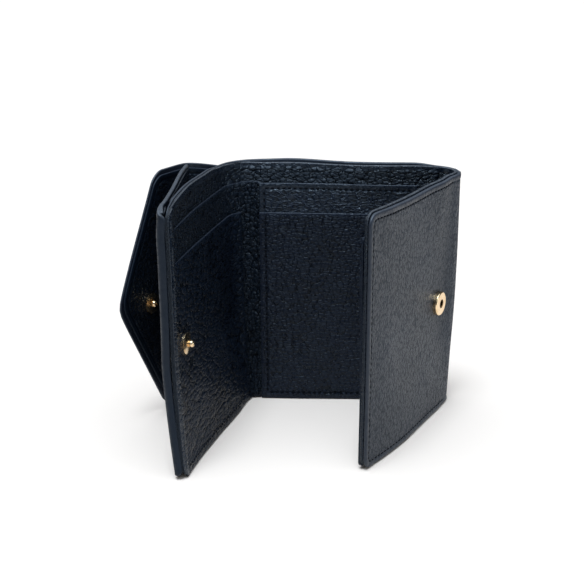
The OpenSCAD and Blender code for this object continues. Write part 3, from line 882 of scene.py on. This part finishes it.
wall_outer, wall_run = line_surface(wall_line(1.0, 0.0, True), lean=wall_shape)
wall_inner, inner_run = line_surface(wall_line(0.36, 2.0, False), lean=wall_shape)
pocket_dir = [on_coin(*wall_point(a, 0.6)) * MM for a in (-0.6, 26.0)]
POCKET_BLEND = {"start": (*pocket_dir[0], 0.05), "end": (*pocket_dir[1], 0.05)}
wall_top = follow([(0, 94.9), (14, 96.2), (40, 97.0), (70, 96.8)])
pocket_wall = sheet("pocket_wall", wall_outer, (0.0, wall_run), 0.3, wall_top,
                    lambda s: 2.2 - 0.7 * ease(s, 3, 9), wall_leather, corners=(3.8, 1.5),
                    step=1.4)
bend(pocket_wall, "coin_panel", "pocket_front", POCKET_BLEND, "outer_leather",
     "coin_pocket_front", "coin_edge_binding")
pocket_lining = sheet("pocket_wall_lining", wall_inner, (0.0, inner_run - 0.1), 0.5,
                      lambda s: wall_top(s + 5.0) - 1.5, 0.4, inner_leather, corners=(1, 1), rho=0.7)
bend(pocket_lining, "coin_panel", "pocket_front", POCKET_BLEND, "inner_leather",
     "coin_pocket_front_lining")
gusset_line, gusset_run = line_surface([(60.5, 10.75), (36.0, 11.1), (12.2, 11.35)])
gusset = sheet("pocket_gusset", gusset_line, (0.0, gusset_run), 1.6, 3.2, 0.42, inner_leather,
               rho=0.8, step=2.5)
carry(gusset, "coin_panel", "inner_leather", "coin_pocket_gusset")


# ---- envelope flap ----
def flap_line(radius):
    """Plan line of a flap layer: up from the pocket's back wall, round the fold, to the tip."""
    off = radius - FLAP_RADIUS
    web = [(0.25 - off, 10.7), (-0.7 - off, 14.0), (-1.75 - off, 18.0), (-2.35 - off, 21.2)]
    arc = []
    for k in range(7):
        ang = math.radians(190 - k * 12.0) + FLAP_ANGLE * (k / 6.0)
        arc.append((FLAP_PIVOT[0] + radius * math.cos(ang), FLAP_PIVOT[1] + radius * math.sin(ang)))
    along = np.array([math.cos(FLAP_ANGLE), math.sin(FLAP_ANGLE)])
    out = np.array([-along[1], along[0]])
    flat = [tuple(np.array(FLAP_PIVOT) + out * radius + along * s) for s in (1.0, 8, 16, 26, 39.9)]
    return web + arc + flat


def flap_warp(run):
    """Turns the rectangle into the envelope's point: straight sides that meet in a round tip."""
    reach = FLAP_TIP - FLAP_SHOULDER
    half_h = PANEL_H / 2
    blunt = 0.06

    def warp(s, z):
        away = np.abs(z - half_h) / half_h
        soft = np.sqrt(away**2 + blunt**2) - blunt
        shift = reach * soft / (math.sqrt(1 + blunt**2) - blunt)
        ramp_in = np.clip((s - (run - FLAP_TIP)) / (FLAP_TIP - 9.0), 0, 1)
        return s - shift * ramp_in, z

    return warp


def flap_curl(run):
    """The pointed part bows a little away from the pocket near its upper and lower edges."""

    def shape(s, z):
        along = np.clip((s - (run - FLAP_TIP)) / FLAP_TIP, 0, 1)
        side = np.abs(z - MID_Z) / MID_Z
        return 0.5 * along * side**2 + ripple(s, z, 0.12) * along

    return shape


def flap_lining_edge(s, z, d, from_top):
    return 0.12 * (1 - ease(d, 1.4, 2.0)) + groove(d, 2.2, 0.15, 0.3)


outer_line, inner_line = flap_line(4.2), flap_line(3.45)
flap_run = line_surface(outer_line)[1]
flap_outer = line_surface(outer_line, flap_curl(flap_run))[0]
flap_cover = sheet("flap_leather_face", flap_outer, (0.0, flap_run), 0.6, 95.0, 0.85, outer_leather,
                   corners=(0, 4.6), step=1.5, warp=flap_warp(flap_run), out=rolled_edge)
flap_inner, lining_run = line_surface(inner_line, flap_curl(flap_run))
lining_span = lining_run - 1.4
flap_lining = sheet("flap_lining_face", flap_inner, (0.5, lining_span), 1.9, 93.3, 0.6, flap_leather,
                    corners=(0, 3.8), step=1.5, warp=flap_warp(lining_span),
                    inn=flap_lining_edge)
flap_a, flap_b = on_coin(-2.3, 19.5) * MM, on_coin(1.5, 27.8) * MM
FLAP_BLEND = {"start": (*flap_a, 0.05), "end": (*flap_b, 0.05)}
bend(flap_cover, "coin_panel", "flap", FLAP_BLEND, "outer_leather", "flap_cover", "flap_web")
bend(flap_lining, "coin_panel", "flap", FLAP_BLEND, "inner_leather", "flap_lining")


# ---- stitching ----
def row(surf, a, b, side, lift, parts=40):
    share = [i / parts for i in range(parts + 1)]
    pts = [(a[0] + (b[0] - a[0]) * k, a[1] + (b[1] - a[1]) * k) for k in share]
    return surf, pts, side, lift


upper_surf, lower_surf = front_surface(0.2, 0.2), front_surface(-0.6, -0.6)
centre_rows = [
    row(upper_surf, (SLOT_S0 + LIP_SEAM, UPPER_LIP - LIP_SEAM),
        (SLOT_S1 - LIP_SEAM, UPPER_LIP - LIP_SEAM), -1, 0.4),
    row(upper_surf, (SLOT_S0 + LIP_SEAM, LOWER_LIP + 1), (SLOT_S0 + LIP_SEAM, UPPER_LIP - 2.6),
        -1, 0.4),
    row(lower_surf, (SLOT_S0 + SIDE_SEAM, 2.8), (SLOT_S0 + SIDE_SEAM, LOWER_LIP - 1), -1, 0.36),
    row(lower_surf, (SLOT_S0 + 3, SIDE_SEAM), (SLOT_S1 - 3, SIDE_SEAM), -1, 0.36),
    row(lower_surf, (SLOT_S1 - SIDE_SEAM, 2.8), (SLOT_S1 - SIDE_SEAM, LOWER_LIP - 1), -1, 0.36),
]
centre_thread = stitches("centre_stitches", centre_rows, navy_thread)
carry(centre_thread, "back", "thread", "back_stitching")


def inset_path(s0, s1, top, inset, r):
    """Stitching line round three sides of a panel, with round corners at its free edge."""
    end, corner = s1 - inset, r - inset if r > inset else 1.5
    pts = [(s0 + (end - corner - s0) * i / 40, inset) for i in range(41)]
    hi = float(top(np.array([end]))[0]) - inset
    for i in range(1, 7):
        a = -math.pi / 2 + i * math.pi / 12
        pts.append((end - corner + corner * math.cos(a), inset + corner + corner * math.sin(a)))
    pts += [(end, inset + corner + (hi - inset - 2 * corner) * i / 30) for i in range(1, 31)]
    for i in range(1, 7):
        a = i * math.pi / 12
        pts.append((end - corner + corner * math.cos(a), hi - corner + corner * math.sin(a)))
    for i in range(1, 41):
        s = end - corner + (s0 - end + corner) * i / 40
        pts.append((s, float(top(np.array([s]))[0]) - inset))
    return pts


front_thread = stitches("front_panel_stitches", [
    (cover_front, inset_path(FRONT_ARC + 3, FRONT_END, front_top, EDGE_SEAM, CORNER), 1, 0.5)],
    navy_thread)
carry(front_thread, "front_panel", "thread", "front_stitching")
coin_thread = stitches("coin_panel_stitches", [
    row(coin_surface(7.55, 7.55), (COIN_ARC + 6, 2.9), (COIN_END - 5, 2.9), -1, 0.3)], navy_thread)
carry(coin_thread, "coin_panel", "thread", "coin_stitching")
wall_thread = stitches("pocket_wall_stitches", [
    row(wall_outer, (wall_run - 2.4, 4.0), (wall_run - 2.4, 91.0), 1, 0.55)], navy_thread)
carry(wall_thread, "pocket_front", "thread", "coin_pocket_stitching")


def flap_edge_row(z0, z1, inset):
    """Stitching line along the two sides of the flap's point."""
    warp = flap_warp(flap_run)
    pts = []
    for i in range(61):
        z = z0 + (z1 - z0) * i / 60
        s = warp(np.array([flap_run - inset]), np.array([z]))[0]
        pts.append((float(s[0]), z + 0.6))
    return pts


flap_thread = stitches("flap_stitches", [
    (flap_outer, flap_edge_row(5.0, 89.0, 2.4), 1, 0.28)], navy_thread)
carry(flap_thread, "flap", "thread", "flap_stitching")


# ---- metal parts keep their CAD shape ----
def finish_metal(node, material):
    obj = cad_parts[node]
    obj.data.materials.clear()
    obj.data.materials.append(material)
    obj.data.polygons.foreach_set("material_index", [0] * len(obj.data.polygons))


for node in ("closing_socket_cap", "closing_stud", "flap_socket_cap", "flap_stud", "flap_stud_cap",
             "closing_socket_washer", "closing_stud_washer", "flap_socket_washer"):
    finish_metal(node, gold)
for node in ("closing_socket_spring", "flap_socket_spring"):
    finish_metal(node, gold_dark)


# ---- studio ----
# Warm floor under slightly blue lights: the floor shows white and the leather's sheen blue.
FLOOR_COLOUR = (0.946, 0.809, 0.700, 1)
LIGHT_TINT = (0.74, 0.865, 1.0)


def studio_floor():
    mesh = bpy.data.meshes.new("studio_floor")
    r = 6.0
    mesh.from_pydata([(-r, -r, 0), (r, -r, 0), (r, r, 0), (-r, r, 0)], [], [(0, 1, 2, 3)])
    obj = bpy.data.objects.new("studio_floor", mesh)
    bpy.context.scene.collection.objects.link(obj)
    obj.location.z = -0.0003
    mat, _, bsdf = new_material("white_floor")
    bsdf.inputs["Base Color"].default_value = FLOOR_COLOUR
    bsdf.inputs["Roughness"].default_value = 0.6
    bsdf.inputs["Specular IOR Level"].default_value = 0.2
    mesh.materials.append(mat)


def soft_sun(name, toward, strength, angle):
    """Broad light that shines along the direction toward, angle degrees wide."""
    data = bpy.data.lights.new(name, "SUN")
    data.energy, data.angle, data.color = strength, math.radians(angle), LIGHT_TINT
    obj = bpy.data.objects.new(name, data)
    obj.rotation_euler = Vector(toward).to_track_quat("-Z", "Y").to_euler()
    bpy.context.scene.collection.objects.link(obj)


def studio_light():
    world = bpy.data.worlds.new("studio_world")
    world.use_nodes = True
    tree = world.node_tree
    back = tree.nodes["Background"]
    back.inputs["Color"].default_value = (1, 1, 1, 1)
    path = tree.nodes.new("ShaderNodeLightPath")
    tree.links.new(ramp(tree, path.outputs["Is Camera Ray"], 0, 1, 0.08, 1.0), back.inputs["Strength"])
    bpy.context.scene.world = world
    soft_sun("overhead", (0.05, 0.15, -1.0), 2.9, 80)
    soft_sun("top_key", (0.1, 0.25, -1.0), 2.0, 20)
    soft_sun("right_side", (-1.0, 0.3, -0.16), 0.62, 30)


def studio_camera():
    data = bpy.data.cameras.new("camera")
    data.sensor_width = 36.0
    data.lens = 72.25
    data.shift_y = 0.1336
    data.clip_start, data.clip_end = 0.01, 50.0
    cam = bpy.data.objects.new("camera", data)
    turn, dip = math.radians(3.1), math.radians(22.142)
    forward = Vector((-math.sin(turn) * math.cos(dip), math.cos(turn) * math.cos(dip), -math.sin(dip)))
    look = forward.to_track_quat("-Z", "Y").to_matrix().to_4x4()
    roll = Matrix.Rotation(math.radians(-0.3237), 4, "Z")
    cam.matrix_world = Matrix.Translation((0.00363, -0.44182, 0.18995)) @ look @ roll
    bpy.context.scene.collection.objects.link(cam)
    bpy.context.scene.camera = cam


studio_floor()
studio_light()
studio_camera()
bpy.context.scene.view_settings.view_transform = "Standard"
bpy.context.scene.view_settings.look = "None"
